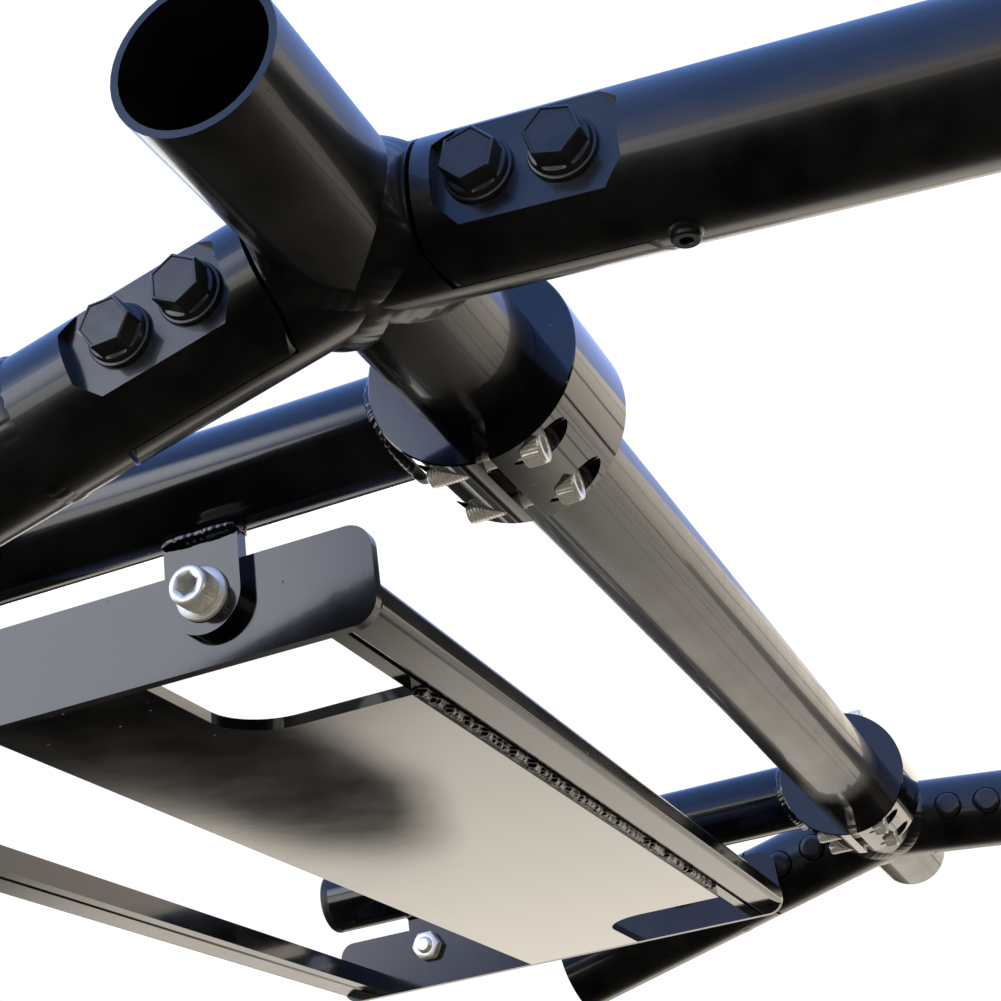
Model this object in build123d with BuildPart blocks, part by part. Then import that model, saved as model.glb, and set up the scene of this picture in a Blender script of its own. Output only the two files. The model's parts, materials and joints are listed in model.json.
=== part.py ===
from build123d import *
from math import cos, radians, sin, sqrt
import os

# Cross-bar section of an off-road vehicle's tubular cage, with a clamp-on tray rack.
# The origin is on the axis of the cross tube, midway between the two rails. +X runs along the
# cross tube, +Y points to the rear, where the rack's arms reach, and +Z is up. Millimetres.
# The near side is -X. Each piece of the far side is the mirror image of its near-side partner.

# Cage tubes
TUBE_OD = 50.8
TUBE_WALL = 2.4
RAIL_X = 419.0            # middle of the cross tube to the axis of each rail
CROSS_REACH = 100.0       # rail axis to the outer end of the cross tube
REAR_FALL = 14.2          # degrees that the rear rails fall away from level
FRONT_FALL = 5.7          # degrees that the front rails fall away from level
REAR_RAIL_END = 250.0     # cross tube axis to the open end of a rear rail, along the rail
FRONT_RAIL_END = 290.0

# Half-lap joint between a stub on the cross tube and each rail. Distances run along the rail's
# axis from where it meets the axis of the cross tube.
LAP_SETBACK = 1.6         # cross tube's surface to the free end of the outer half
LAP_LENGTH = 71.0
LAP_GAP = 0.6             # between the flats of the two halves
LAP_END_GAP = 1.6         # between a free end and the shoulder it faces
LAP_CORNER = 6.0
COUPLER_BODY = 23.0       # full round of the coupler, from the lap to the weld at the rail tube
POCKET_DEPTH = 6.2        # tube's surface down to the flat that the bolt heads sit on
POCKET_LEAD = 13.5        # pocket's inner end to the first bolt, along the rail
POCKET_TAIL = 18.3        # last bolt to the pocket's outer end
POCKET_CHAMFER = 6.5
REAR_BOLT_LEAD = 24.0     # lap's start to the first bolt of a rear coupler
FRONT_BOLT_LEAD = 21.5
BOLT_MARGIN = 44.8        # what the two bolts' pitch leaves of the lap's length

# Coupler bolts, washers and domed nuts
BOLT_D = 10.0
BOLT_HOLE_CLEARANCE = 0.25    # radial
BOLT_WASHER_OD = 22.0
BOLT_WASHER_T = 1.8
BOLT_FLANGE_OD = 20.0
BOLT_FLANGE_T = 1.8
BOLT_HEX_AF = 16.0
BOLT_HEX_T = 7.0
NUT_OD = 17.0
NUT_T = 9.0
NUT_DOME = 3.5
NUT_BORE_CLEARANCE = 0.1
NUT_POCKET_CLEARANCE = 1.0

# Two-piece clamp
CLAMP_INSET = 115.4       # rail's axis to the middle of the clamp
CLAMP_LENGTH = 56.0
CLAMP_WALL = 14.4
CLAMP_CLEARANCE = 0.06    # radial running clearance on the cross tube
CLAMP_SPLIT = 5.0
CLAMP_EDGE = 1.2
SCREW_D = 8.0
SCREW_HEAD_OD = 13.0
SCREW_HEAD_T = 8.0
SCREW_HEX_AF = 6.0
SCREW_HEX_DEPTH = 4.5
SCREW_INSET = 10.5        # clamp's end to the nearer screws
SCREW_EDGE = 9.4          # tube's surface to the screw axes
SCREW_SEAT = 12.0         # split plane to the floor of each counterbore
SCREW_TIP = 24.0          # split plane to the screw's tip
SCREW_CLEARANCE = 0.2
COUNTERBORE_CLEARANCE = 0.8   # radial, round the screw's head
TIP_FACE = 19.0           # split plane to the flat round each screw's tip

# Rack arms and their end caps
ARM_OD = 42.4
ARM_WALL = 2.6
RACK_END = 371.5          # cross tube axis to the rear end of the rack
CAP_RIM = 3.0
CAP_DOME = 4.0
CAP_PLUG = 14.0
CAP_CLEARANCE = 0.15

# Side bars
BAR_T = 4.8
BAR_HEIGHT = 40.2
BAR_GAP = 11.4            # underside of the arm to the bar's top edge
BAR_FRONT = 57.5          # cross tube axis to the front end of the bar
BAR_CORNER = 10.0
BAR_INSET = 2.0           # arm's axis to the outer face of the side bar

# Tabs that hang the bars from the arms
TAB_T = 6.35
TAB_WIDTH = 31.75
TAB_Y = 124.6
TAB_BOLT_INSET = 13.9     # bar's top edge to the tab's bolt
TAB_SINK = 14.0           # how far below the arm's axis the tab's blank starts
TAB_BOLT_D = 10.0
TAB_BOLT_HEAD_OD = 16.0
TAB_BOLT_HEAD_T = 10.0
TAB_BOLT_HEX_AF = 8.0
TAB_BOLT_HEX_DEPTH = 5.5
TAB_BOLT_CLEARANCE = 0.25
TAB_BOLT_SPARE = 3.0      # thread that stands out of the nut
TAB_WASHER_OD = 21.5
TAB_WASHER_T = 2.0
TAB_NUT_AF = 17.0
TAB_NUT_T = 8.0

# Crossbars, each a small box tube with a flat strip behind it
BOX_DEPTH = 20.0
BOX_HEIGHT = 12.7
BOX_WALL = 1.6
BOX_CORNER = 3.0
STRIP_T = 6.35

# Tray plate
PLATE_T = 4.8
PLATE_REAR = 232.5
PLATE_LAP = 3.4           # how far the plate reaches under the strip
RELIEF_WIDTH = 73.5       # notch at each front corner, along the crossbar
RELIEF_REAR = 157.0       # cross tube axis to the rear edge of the notch
RELIEF_CORNER = 26.0

# Worked out from the sizes above
TUBE_R = TUBE_OD / 2
TUBE_BORE_R = TUBE_R - TUBE_WALL
LAP_START = TUBE_R + LAP_SETBACK
LAP_END = LAP_START + LAP_LENGTH
COUPLER_END = LAP_END + COUPLER_BODY
POCKET_FLOOR = TUBE_R - POCKET_DEPTH
BOLT_PITCH = LAP_LENGTH - BOLT_MARGIN
POCKET_LENGTH = POCKET_LEAD + BOLT_PITCH + POCKET_TAIL
FALL = {"rear": REAR_FALL, "front": FRONT_FALL}
WAY = {"rear": 1, "front": -1}
RAIL_END = {"rear": REAR_RAIL_END, "front": FRONT_RAIL_END}
BOLT_FIRST = {"rear": LAP_START + REAR_BOLT_LEAD, "front": LAP_START + FRONT_BOLT_LEAD}
CLAMP_X = RAIL_X - CLAMP_INSET
CLAMP_R = TUBE_R + CLAMP_WALL
SCREW_SPREAD = CLAMP_LENGTH - 2 * SCREW_INSET
SCREW_OFFSET = TUBE_R + SCREW_EDGE
ARM_R = ARM_OD / 2
ARM_BORE_R = ARM_R - ARM_WALL
RACK_MIDDLE = (BAR_FRONT + RACK_END) / 2
BAR_TOP = -(ARM_R + BAR_GAP)
BAR_FACE_X = CLAMP_X - BAR_INSET
BAR_INNER_X = BAR_FACE_X - BAR_T
TAB_BOLT_DROP = TAB_BOLT_INSET - BAR_TOP
BOX_BOTTOM = BAR_TOP - BAR_HEIGHT + PLATE_T

os.makedirs("parts", exist_ok=True)


def save(piece, name):
    """Label a finished piece and write it as one node."""
    piece.label = name
    export_step(piece, f"parts/{name}.step")


def save_pair(piece, name):
    """Write a near-side piece and its mirror image on the far side."""
    save(piece, f"near_{name}")
    with BuildPart() as far_piece:
        mirror(piece, about=Plane.YZ)
    save(far_piece.part, f"far_{name}")


def rail_plane(end):
    """Plane where the near rail crosses the cross tube: z along the rail and x outboard."""
    fall = radians(FALL[end])
    along = Vector(0, WAY[end] * cos(fall), -sin(fall))
    return Plane(origin=(-RAIL_X, 0, 0), x_dir=(-1, 0, 0), z_dir=along)


def side_plane(end):
    """Plane through the rail's axis, seen from outboard: x along the rail."""
    rail = rail_plane(end)
    return Plane(origin=rail.origin, x_dir=rail.z_dir, z_dir=rail.x_dir)


def lap_bar(end, start, stop, keep_from, keep_to, cut_from, cut_to, outward):
    """Round bar along the rail with one half cut away, its free end and the cut both cornered."""
    with BuildPart() as bar:
        with BuildSketch(rail_plane(end).offset(start)):
            Circle(TUBE_R)
        extrude(amount=stop - start)
        with BuildSketch(side_plane(end)):
            with Locations(((keep_from + keep_to) / 2, 0)):
                RectangleRounded(keep_to - keep_from, TUBE_OD, LAP_CORNER)
        extrude(amount=TUBE_OD, both=True, mode=Mode.INTERSECT)
        with BuildSketch(side_plane(end).offset(outward * -LAP_GAP / 2)):
            with Locations(((cut_from + cut_to) / 2, 0)):
                RectangleRounded(cut_to - cut_from, TUBE_OD + 2 * LAP_GAP, LAP_CORNER + LAP_END_GAP / 2)
        extrude(amount=outward * TUBE_OD, mode=Mode.SUBTRACT)
    return bar.part


def bolt_spots(end):
    """The two coupler bolts of a lap, on its side plane."""
    return [(BOLT_FIRST[end], 0), (BOLT_FIRST[end] + BOLT_PITCH, 0)]


def bolt_circles(end, offset, radius):
    """Sketch one circle at each coupler bolt, on a plane offset outboard of the rail's axis."""
    with BuildSketch(side_plane(end).offset(offset)) as circles:
        with Locations(bolt_spots(end)):
            Circle(radius)
    return circles.sketch


# ---- Cross tube: one length through both crossings ----
with BuildPart() as cross_tube:
    with BuildSketch(Plane.YZ.offset(-(RAIL_X + CROSS_REACH))):
        Circle(TUBE_R)
        Circle(TUBE_BORE_R, mode=Mode.SUBTRACT)
    extrude(amount=2 * (RAIL_X + CROSS_REACH))
save(cross_tube.part, "cross_tube")

# ---- Lap stubs: coped to the cross tube at the root, with a half-round tongue ----
STUB_ROOT = -2 * TUBE_OD          # far behind the root, so that only the free end is cornered
FAR_CUT = LAP_END + TUBE_OD       # far past the tongue, so that only the shoulder is cornered
for end in FALL:
    with BuildPart() as lap_stub:
        add(lap_bar(end, 0, LAP_END, STUB_ROOT, LAP_END, LAP_START, FAR_CUT, 1))
        with BuildSketch(Plane.YZ.offset(-(RAIL_X + TUBE_OD))):
            Circle(TUBE_R)
        extrude(amount=2 * TUBE_OD, mode=Mode.SUBTRACT)
        with BuildSketch(Plane.XZ):
            with Locations((-RAIL_X, 0)):
                Rectangle(2 * TUBE_OD, 2 * TUBE_OD)
        extrude(amount=WAY[end] * TUBE_OD, mode=Mode.SUBTRACT)
        extrude(bolt_circles(end, 0, BOLT_D / 2 + BOLT_HOLE_CLEARANCE), amount=-TUBE_R, mode=Mode.SUBTRACT)
        extrude(
            bolt_circles(end, -POCKET_FLOOR, NUT_OD / 2 + NUT_POCKET_CLEARANCE),
            amount=-TUBE_R,
            mode=Mode.SUBTRACT,
        )
    save_pair(lap_stub.part, f"{end}_lap_stub")

# ---- Rail couplers, rails and the bolts through each lap ----
for end in FALL:
    rail = rail_plane(end)
    with BuildPart() as coupler:
        add(
            lap_bar(
                end,
                LAP_START + LAP_END_GAP,
                COUPLER_END,
                LAP_START + LAP_END_GAP,
                COUPLER_END + TUBE_OD,
                -TUBE_OD,
                LAP_END + LAP_END_GAP,
                -1,
            )
        )
        with BuildSketch(side_plane(end).offset(POCKET_FLOOR)):
            with Locations((BOLT_FIRST[end] - POCKET_LEAD + POCKET_LENGTH / 2, 0)):
                floor = Rectangle(POCKET_LENGTH, 2 * sqrt(TUBE_R**2 - POCKET_FLOOR**2) + 0.2)
            chamfer(floor.vertices(), POCKET_CHAMFER)
        extrude(amount=TUBE_R, mode=Mode.SUBTRACT)
        extrude(bolt_circles(end, 0, BOLT_D / 2 + BOLT_HOLE_CLEARANCE), amount=TUBE_R, mode=Mode.SUBTRACT)
    save_pair(coupler.part, f"{end}_coupler")

    with BuildPart() as rail_tube:
        with BuildSketch(rail.offset(COUPLER_END)):
            Circle(TUBE_R)
            Circle(TUBE_BORE_R, mode=Mode.SUBTRACT)
        extrude(amount=RAIL_END[end] - COUPLER_END)
    save_pair(rail_tube.part, f"{end}_rail")

    with BuildPart() as washers:
        extrude(bolt_circles(end, POCKET_FLOOR, BOLT_WASHER_OD / 2), amount=BOLT_WASHER_T)
        extrude(
            bolt_circles(end, POCKET_FLOOR, BOLT_D / 2 + BOLT_HOLE_CLEARANCE),
            amount=BOLT_WASHER_T,
            mode=Mode.SUBTRACT,
        )
    save_pair(washers.part, f"{end}_bolt_washers")

    flange_seat = POCKET_FLOOR + BOLT_WASHER_T
    bolt_tip = -(POCKET_FLOOR + NUT_T - NUT_DOME)
    with BuildPart() as bolts:
        extrude(bolt_circles(end, bolt_tip, BOLT_D / 2), amount=flange_seat - bolt_tip)
        extrude(bolt_circles(end, flange_seat, BOLT_FLANGE_OD / 2), amount=BOLT_FLANGE_T)
        with BuildSketch(side_plane(end).offset(flange_seat + BOLT_FLANGE_T)):
            with Locations(bolt_spots(end)):
                RegularPolygon(BOLT_HEX_AF / 2, 6, major_radius=False, rotation=20)
        extrude(amount=BOLT_HEX_T)
    save_pair(bolts.part, f"{end}_bolts")

    with BuildPart() as nuts:
        extrude(bolt_circles(end, -POCKET_FLOOR, NUT_OD / 2), amount=-NUT_T)
        outer_faces = nuts.faces().sort_by(Axis((-RAIL_X, 0, 0), (1, 0, 0)))[-len(bolt_spots(end)):]
        fillet(outer_faces.edges(), NUT_DOME)
        extrude(
            bolt_circles(end, -POCKET_FLOOR, BOLT_D / 2 + NUT_BORE_CLEARANCE),
            amount=-(NUT_T - NUT_DOME),
            mode=Mode.SUBTRACT,
        )
    save_pair(nuts.part, f"{end}_nuts")

# ---- Clamps: the rear half carries the arm, the front half is the cap ----
CLAMP_BORE_R = TUBE_R + CLAMP_CLEARANCE
CLAMP_START_X = -(CLAMP_X + CLAMP_LENGTH / 2)
SCREW_SPOTS = [
    (-CLAMP_X + side * SCREW_SPREAD / 2, height * SCREW_OFFSET) for side in (-1, 1) for height in (-1, 1)
]


def screw_circles(y, radius):
    """Sketch one circle at each clamp screw, on the level plane y behind the tube's axis."""
    with BuildSketch(Plane(origin=(0, y, 0), x_dir=(1, 0, 0), z_dir=(0, -1, 0))) as circles:
        with Locations(SCREW_SPOTS):
            Circle(radius)
    return circles.sketch


def clamp_half(way):
    """Half of the round clamp, on the rear (way 1) or the front (way -1) of the split."""
    with BuildPart() as half:
        with BuildSketch(Plane.YZ.offset(CLAMP_START_X)):
            Circle(CLAMP_R)
        extrude(amount=CLAMP_LENGTH)
        chamfer(half.edges().filter_by(GeomType.CIRCLE), CLAMP_EDGE / 2)
        with BuildSketch(Plane.YZ.offset(CLAMP_START_X)):
            Circle(CLAMP_BORE_R)
            with Locations((way * (CLAMP_SPLIT / 2 - CLAMP_R), 0)):
                Rectangle(2 * CLAMP_R, 4 * CLAMP_R)
        extrude(amount=CLAMP_LENGTH, mode=Mode.SUBTRACT)
    return half.part


with BuildPart() as near_clamp_body:
    add(clamp_half(1))
    extrude(screw_circles(0, SCREW_D / 2), amount=-CLAMP_R, mode=Mode.SUBTRACT)
    extrude(screw_circles(TIP_FACE, SCREW_HEAD_OD / 2), amount=-CLAMP_R, mode=Mode.SUBTRACT)
save_pair(near_clamp_body.part, "clamp_body")

with BuildPart() as near_clamp_cap:
    add(clamp_half(-1))
    extrude(screw_circles(0, SCREW_D / 2 + SCREW_CLEARANCE), amount=CLAMP_R, mode=Mode.SUBTRACT)
    extrude(
        screw_circles(-SCREW_SEAT, SCREW_HEAD_OD / 2 + COUNTERBORE_CLEARANCE),
        amount=CLAMP_R,
        mode=Mode.SUBTRACT,
    )
save_pair(near_clamp_cap.part, "clamp_cap")

with BuildPart() as near_clamp_screws:
    extrude(screw_circles(-SCREW_SEAT, SCREW_HEAD_OD / 2), amount=SCREW_HEAD_T)
    extrude(screw_circles(-SCREW_SEAT, SCREW_D / 2), amount=-(SCREW_SEAT + SCREW_TIP))
    head_end = Plane(origin=(0, -SCREW_SEAT - SCREW_HEAD_T, 0), x_dir=(1, 0, 0), z_dir=(0, -1, 0))
    with BuildSketch(head_end):
        with Locations(SCREW_SPOTS):
            RegularPolygon(SCREW_HEX_AF / 2, 6, major_radius=False)
    extrude(amount=-SCREW_HEX_DEPTH, mode=Mode.SUBTRACT)
save_pair(near_clamp_screws.part, "clamp_screws")

# ---- Arms, coped to the clamps, and the caps that close them ----
ARM_PLANE = Plane(origin=(-CLAMP_X, 0, 0), x_dir=(1, 0, 0), z_dir=(0, 1, 0))
with BuildPart() as near_arm:
    with BuildSketch(ARM_PLANE.offset(TUBE_R)):
        Circle(ARM_R)
        Circle(ARM_BORE_R, mode=Mode.SUBTRACT)
    extrude(amount=RACK_END - TUBE_R)
    with BuildSketch(Plane.YZ.offset(CLAMP_START_X)):
        Circle(CLAMP_R)
    extrude(amount=CLAMP_LENGTH, mode=Mode.SUBTRACT)
save_pair(near_arm.part, "arm")

with BuildPart() as near_arm_cap:
    with BuildSketch(ARM_PLANE.offset(RACK_END)):
        Circle(ARM_R)
    extrude(amount=CAP_RIM + CAP_DOME)
    fillet(near_arm_cap.edges().sort_by(Axis.Y)[-1], CAP_DOME)
    with BuildSketch(ARM_PLANE.offset(RACK_END)):
        Circle(ARM_BORE_R - CAP_CLEARANCE)
    extrude(amount=-CAP_PLUG)
save_pair(near_arm_cap.part, "arm_cap")

# ---- Side bars, bolted to a front and a rear tab under each arm ----
BAR_MIDDLE_Z = BAR_TOP - BAR_HEIGHT / 2
TAB_SPOTS = {"front": TAB_Y, "rear": 2 * RACK_MIDDLE - TAB_Y}
TAB_OUTER_X = BAR_FACE_X + TAB_T
with BuildPart() as near_side_bar:
    with BuildSketch(Plane.YZ.offset(-BAR_FACE_X)):
        with Locations((RACK_MIDDLE, BAR_MIDDLE_Z)):
            RectangleRounded(RACK_END - BAR_FRONT, BAR_HEIGHT, BAR_CORNER)
        with Locations([(y, -TAB_BOLT_DROP) for y in TAB_SPOTS.values()]):
            Circle(TAB_BOLT_D / 2 + TAB_BOLT_CLEARANCE, mode=Mode.SUBTRACT)
    extrude(amount=BAR_T)
save_pair(near_side_bar.part, "side_bar")

for end, tab_y in TAB_SPOTS.items():
    with BuildPart() as tab:
        with BuildSketch(Plane.YZ.offset(-TAB_OUTER_X)):
            with Locations((tab_y, -(TAB_SINK + TAB_BOLT_DROP) / 2)):
                Rectangle(TAB_WIDTH, TAB_BOLT_DROP - TAB_SINK)
            with Locations((tab_y, -TAB_BOLT_DROP)):
                Circle(TAB_WIDTH / 2)
                Circle(TAB_BOLT_D / 2 + TAB_BOLT_CLEARANCE, mode=Mode.SUBTRACT)
        extrude(amount=TAB_T)
        with BuildSketch(ARM_PLANE.offset(tab_y - TAB_WIDTH)):
            Circle(ARM_R)
        extrude(amount=2 * TAB_WIDTH, mode=Mode.SUBTRACT)
    save_pair(tab.part, f"{end}_tab")

    with BuildPart() as tab_washer:
        with BuildSketch(Plane.YZ.offset(-TAB_OUTER_X)):
            with Locations((tab_y, -TAB_BOLT_DROP)):
                Circle(TAB_WASHER_OD / 2)
                Circle(TAB_BOLT_D / 2 + TAB_BOLT_CLEARANCE, mode=Mode.SUBTRACT)
        extrude(amount=-TAB_WASHER_T)
    save_pair(tab_washer.part, f"{end}_tab_washer")

    with BuildPart() as tab_nut:
        with BuildSketch(Plane.YZ.offset(-BAR_INNER_X)):
            with Locations((tab_y, -TAB_BOLT_DROP)):
                RegularPolygon(TAB_NUT_AF / 2, 6, major_radius=False)
                Circle(TAB_BOLT_D / 2 + NUT_BORE_CLEARANCE, mode=Mode.SUBTRACT)
        extrude(amount=TAB_NUT_T)
    save_pair(tab_nut.part, f"{end}_tab_nut")

    head_seat_x = -(TAB_OUTER_X + TAB_WASHER_T)
    shank_end_x = -(BAR_INNER_X - TAB_NUT_T - TAB_BOLT_SPARE)
    with BuildPart() as tab_screw:
        with BuildSketch(Plane.YZ.offset(head_seat_x)):
            with Locations((tab_y, -TAB_BOLT_DROP)):
                Circle(TAB_BOLT_D / 2)
        extrude(amount=shank_end_x - head_seat_x)
        with BuildSketch(Plane.YZ.offset(head_seat_x)):
            with Locations((tab_y, -TAB_BOLT_DROP)):
                Circle(TAB_BOLT_HEAD_OD / 2)
        extrude(amount=-TAB_BOLT_HEAD_T)
        with BuildSketch(Plane.YZ.offset(head_seat_x - TAB_BOLT_HEAD_T)):
            with Locations((tab_y, -TAB_BOLT_DROP)):
                RegularPolygon(TAB_BOLT_HEX_AF / 2, 6, major_radius=False)
        extrude(amount=TAB_BOLT_HEX_DEPTH, mode=Mode.SUBTRACT)
    save_pair(tab_screw.part, f"{end}_tab_screw")

# ---- Crossbars between the side bars ----
BOX_MIDDLE_Z = BOX_BOTTOM + BOX_HEIGHT / 2
CROSSBARS = {
    "front": (BAR_FRONT + BOX_DEPTH / 2, BAR_FRONT + BOX_DEPTH + STRIP_T / 2),
    "rear": (RACK_END - BOX_DEPTH / 2, RACK_END - BOX_DEPTH - STRIP_T / 2),
}
for end, (box_y, strip_y) in CROSSBARS.items():
    with BuildPart() as crossbar:
        with BuildSketch(Plane.YZ.offset(-BAR_INNER_X)):
            with Locations((box_y, BOX_MIDDLE_Z)):
                RectangleRounded(BOX_DEPTH, BOX_HEIGHT, BOX_CORNER)
                RectangleRounded(
                    BOX_DEPTH - 2 * BOX_WALL,
                    BOX_HEIGHT - 2 * BOX_WALL,
                    BOX_CORNER - BOX_WALL,
                    mode=Mode.SUBTRACT,
                )
        extrude(amount=2 * BAR_INNER_X)
    save(crossbar.part, f"{end}_crossbar")

    with BuildPart() as strip:
        with BuildSketch(Plane.YZ.offset(-BAR_INNER_X)):
            with Locations((strip_y, BOX_MIDDLE_Z)):
                Rectangle(STRIP_T, BOX_HEIGHT)
        extrude(amount=2 * BAR_INNER_X)
    save(strip.part, f"{end}_backing_strip")

# ---- Tray plate under the front strip, notched at its front corners ----
PLATE_FRONT = BAR_FRONT + BOX_DEPTH + STRIP_T - PLATE_LAP
RELIEF_SPAN = 4 * RELIEF_CORNER       # blank of the notch, past the plate's edges
with BuildPart() as tray_plate:
    with BuildSketch(Plane.XY.offset(BOX_BOTTOM)):
        with Locations((0, (PLATE_FRONT + PLATE_REAR) / 2)):
            Rectangle(2 * BAR_INNER_X, PLATE_REAR - PLATE_FRONT)
        for side in (-1, 1):
            edge_x = side * (BAR_INNER_X - RELIEF_WIDTH)
            relief_x = edge_x + side * (RELIEF_WIDTH + RELIEF_SPAN) / 2
            relief_y = (PLATE_FRONT - RELIEF_SPAN + RELIEF_REAR) / 2
            with Locations((relief_x, relief_y)):
                RectangleRounded(
                    RELIEF_WIDTH + RELIEF_SPAN,
                    RELIEF_REAR - PLATE_FRONT + RELIEF_SPAN,
                    RELIEF_CORNER,
                    mode=Mode.SUBTRACT,
                )
    extrude(amount=-PLATE_T)
save(tray_plate.part, "tray_plate")
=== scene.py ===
"""Looks of a roll cage section with a clamp-on rack: finishes, fasteners, weld beads and stage."""
import json
from math import ceil, cos, pi, radians, sin, sqrt, tan, tau

import bpy
from bpy.props import FloatProperty, FloatVectorProperty, PointerProperty
from mathutils import Matrix, Vector, noise


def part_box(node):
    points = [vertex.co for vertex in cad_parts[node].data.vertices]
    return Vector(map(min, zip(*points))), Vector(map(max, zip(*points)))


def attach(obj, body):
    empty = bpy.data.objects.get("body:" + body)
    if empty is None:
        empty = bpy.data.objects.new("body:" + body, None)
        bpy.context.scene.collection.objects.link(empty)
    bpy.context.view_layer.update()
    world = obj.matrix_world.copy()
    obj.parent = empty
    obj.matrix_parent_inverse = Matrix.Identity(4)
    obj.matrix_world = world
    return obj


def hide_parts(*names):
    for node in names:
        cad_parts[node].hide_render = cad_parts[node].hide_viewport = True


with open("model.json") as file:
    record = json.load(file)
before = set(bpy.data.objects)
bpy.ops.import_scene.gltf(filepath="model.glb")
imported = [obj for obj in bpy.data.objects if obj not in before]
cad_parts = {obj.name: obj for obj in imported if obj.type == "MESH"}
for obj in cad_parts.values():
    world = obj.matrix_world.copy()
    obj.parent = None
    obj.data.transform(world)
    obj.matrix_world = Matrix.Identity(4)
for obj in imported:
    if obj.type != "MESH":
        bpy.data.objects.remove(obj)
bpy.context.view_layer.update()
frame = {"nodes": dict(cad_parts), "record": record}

bl_info = {
    "name": "Cage rack looks",
    "version": (1, 0, 0),
    "blender": (4, 5, 0),
    "location": "View3D > Sidebar > Cage rack",
    "description": "Finishes, fasteners, weld beads and stage for a cage section with a clamp-on rack",
    "category": "Object",
}

SIDES = ("near", "far")
ENDS = ("front", "rear")
OUTBOARD = {"near": -1, "far": 1}
MM = 0.001
TURN_POINTS = 144                 # a multiple of six, so that a hexagon's corners fall on points
THREAD_POINTS = 36
THREAD_DEPTH = 0.54               # of the pitch, as a metric thread has
BEAD_POINTS = 14                  # points round a weld bead
TOE_SINK = 0.25 * MM              # how far the edges of a fillet weld sink into the tubes
ROOT_SINK = 1.5 * MM              # how far its underside reaches into the corner
SHANK_OVERLAP = 0.5 * MM          # how far a shank reaches into its head
WASHER_PLAY = 0.25 * MM           # between a washer's bore and the thread
NUT_PLAY = 0.1 * MM               # between a nut's bore and the thread
NOTCH = 73.5 * MM                 # width of the tray plate's notch at each front corner
FINE_ANGLE = radians(32)          # edges sharper than this keep a crisp shade
BEAD_ANGLE = radians(60)          # the same on a weld bead, whose ripples stay soft
BREAK_ANGLE = radians(38)         # corners sharper than this are broken
EDGE_BREAKS = {                   # name endings of the parts with broken edges, and how wide
    "coupler": 0.9 * MM,
    "lap_stub": 0.9 * MM,
    "side_bar": 0.6 * MM,
    "_tab": 0.5 * MM,
    "tray_plate": 0.5 * MM,
    "backing_strip": 0.4 * MM,
    "clamp_body": 0.3 * MM,
    "clamp_cap": 0.3 * MM,
}
BOSS_PROFILE = (                  # share of a boss's radius, and height in millimetres
    (1.35, 0.0), (1.15, 1.9), (1.0, 2.6), (1.0, 3.8), (0.9, 4.3), (0.5, 4.3), (0.45, 3.9), (0.45, 1.0),
)
CARDS = {                         # left, front, right and back edge of the cards, in metres
    "dark_card": (-7.5, -8.0, 0.7, 9.0),
    "warm_card": (0.7, -8.0, 9.0, 9.0),
}
GROUND_LINES = (                  # height, half width and soft edge of the mirrored ground's dark lines
    (0.205, 0.005, 0.012),
    (0.345, 0.0, 0.006),
)


# ---- Colours and places ----
def linear(code):
    """Linear colour of an sRGB hex value."""
    parts = [int(code[i : i + 2], 16) / 255 for i in (0, 2, 4)]
    return tuple(p / 12.92 if p <= 0.04045 else ((p + 0.055) / 1.055) ** 2.4 for p in parts)


def mount(name):
    """Place and direction of one of the record's mounts."""
    found = next(m for m in frame["record"]["mounts"] if m["name"] == name)
    return Vector(found["pos_m"]), Vector(found["axis"])


def middle(node):
    low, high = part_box(node)
    return (low + high) / 2


def half_size(node):
    low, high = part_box(node)
    return (high - low) / 2


TUBE_RADIUS = half_size("cross_tube").z


def frame_along(direction, across):
    """Rotation whose z runs along a direction and whose x is as near across as it can be."""
    z = Vector(direction).normalized()
    y = z.cross(Vector(across)).normalized()
    return Matrix((y.cross(z), y, z)).transposed().to_4x4()


# ---- Settings that a user would change ----
def length(label, about, default):
    return FloatProperty(name=label, description=about, default=default, min=0, unit="LENGTH", precision=5)


def share(label, about, default):
    return FloatProperty(name=label, description=about, default=default, min=0, max=1, subtype="FACTOR")


def strength(label, about, default):
    return FloatProperty(name=label, description=about, default=default, min=0)


def vector(label, about, default, subtype):
    return FloatVectorProperty(name=label, description=about, default=default, subtype=subtype)


def colour(label, about, code):
    return FloatVectorProperty(
        name=label, description=about, default=linear(code), min=0, max=1, subtype="COLOR"
    )


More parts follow.
